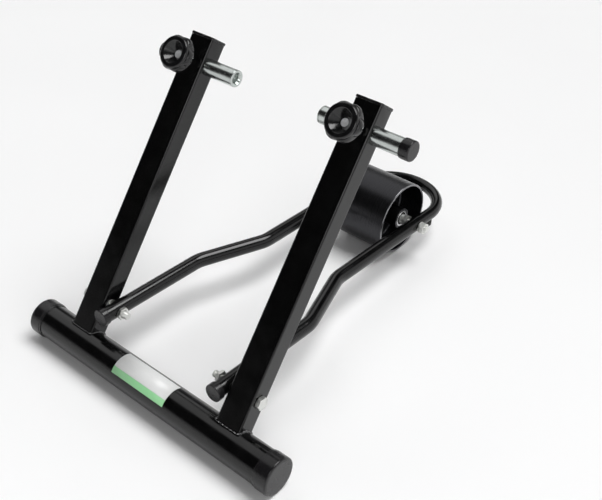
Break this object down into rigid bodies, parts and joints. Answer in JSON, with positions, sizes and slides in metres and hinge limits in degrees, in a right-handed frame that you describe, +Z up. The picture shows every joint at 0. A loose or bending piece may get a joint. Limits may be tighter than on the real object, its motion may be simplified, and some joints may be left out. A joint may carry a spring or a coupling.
{
  "type": "bicycle trainer",
  "caption": "Folding rear-wheel bicycle trainer: wide base tube, leaning uprights with sliding axle clamps and star knobs, and a hinged bent U-frame that carries a steel roller drum.",
  "frame": {"origin": "on the floor, under the middle of the trainer's box", "axes": "+X to the rider's right, +Y forward, +Z up"},
  "size_m": [0.46, 0.6632, 0.4231],
  "materials": {
    "black_paint": "satin black powder coat",
    "black_plastic": "smooth moulded",
    "black_rubber": "matt",
    "zinc": "bright zinc plate",
    "drum_steel": "turned, fine circular lines",
    "bearing_steel": "ground",
    "grey_plastic": "satin"
  },
  "bodies": {
    "stand": {"base_tube": "black_paint", "base_cap_right": "black_plastic", "base_cap_left": "black_plastic", "upright_right": "black_paint", "upright_left": "black_paint", "upright_plug_right": "black_plastic", "upright_plug_left": "black_plastic", "lock_nut_right": "black_paint", "lock_nut_left": "black_paint", "pivot_bolt_right": "zinc", "pivot_bolt_left": "zinc", "pivot_washer_right": "zinc", "pivot_washer_left": "zinc", "pivot_nut_right": "zinc", "pivot_nut_left": "zinc"},
    "clamp_right": {"clamp_tube_right": "zinc", "clamp_cap_right": "black_plastic", "axle_cup_right": "zinc"},
    "clamp_left": {"clamp_tube_left": "zinc", "clamp_cap_left": "black_plastic", "axle_cup_left": "zinc"},
    "lock_travel_right": {"knob_disc_right": "grey_plastic"},
    "lock_travel_left": {"knob_disc_left": "grey_plastic"},
    "lock_right": {"lock_knob_right": "black_plastic", "lock_screw_right": "zinc"},
    "lock_left": {"lock_knob_left": "black_plastic", "lock_screw_left": "zinc"},
    "u_frame": {"leg_right": "black_paint", "leg_left": "black_paint", "leg_cap_right": "black_plastic", "leg_cap_left": "black_plastic", "front_bow": "black_paint", "bow_pad_right": "black_rubber", "bow_pad_left": "black_rubber", "roller_axle": "zinc", "bearing_spacer": "zinc", "axle_spacer_right": "zinc", "axle_spacer_left": "zinc", "axle_inner_nut_right": "zinc", "axle_inner_nut_left": "zinc", "axle_washer_right": "zinc", "axle_washer_left": "zinc", "axle_outer_nut_right": "zinc", "axle_outer_nut_left": "zinc"},
    "roller": {"roller_drum": "drum_steel", "roller_bearing_right": "bearing_steel", "roller_bearing_left": "bearing_steel"}
  },
  "joints": [
    {"name": "frame_fold", "type": "hinge", "parent": "stand", "child": "u_frame", "pos_m": [0, -0.2647, 0.08099], "axis": [1, 0, 0], "range_deg": [-88, 51]},
    {"name": "roller_spin", "type": "hinge", "parent": "u_frame", "child": "roller", "pos_m": [0, 0.20883, 0.05985], "axis": [1, 0, 0], "continuous": true},
    {"name": "clamp_right_slide", "type": "slide", "parent": "stand", "child": "clamp_right", "axis": [-1, 0, 0], "range_m": [-0.04, 0.041]},
    {"name": "clamp_left_slide", "type": "slide", "parent": "stand", "child": "clamp_left", "axis": [1, 0, 0], "range_m": [-0.05, 0.031]},
    {"name": "lock_right_travel", "type": "slide", "parent": "stand", "child": "lock_travel_right", "axis": [0, -0.8043, 0.5942], "range_m": [0, 0.0045]},
    {"name": "lock_right_turn", "type": "hinge", "parent": "lock_travel_right", "child": "lock_right", "pos_m": [0.142, -0.05019, 0.37134], "axis": [0, -0.8043, 0.5942], "range_deg": [0, 1090]},
    {"name": "lock_left_travel", "type": "slide", "parent": "stand", "child": "lock_travel_left", "axis": [0, -0.8043, 0.5942], "range_m": [0, 0.0045]},
    {"name": "lock_left_turn", "type": "hinge", "parent": "lock_travel_left", "child": "lock_left", "pos_m": [-0.142, -0.05019, 0.37134], "axis": [0, -0.8043, 0.5942], "range_deg": [0, 1090]}
  ],
  "couplings": [
    {"joint": "lock_right_turn", "follows": "lock_right_travel", "rad_per_m": 4188.8},
    {"joint": "lock_left_turn", "follows": "lock_left_travel", "rad_per_m": 4188.8}
  ]
}
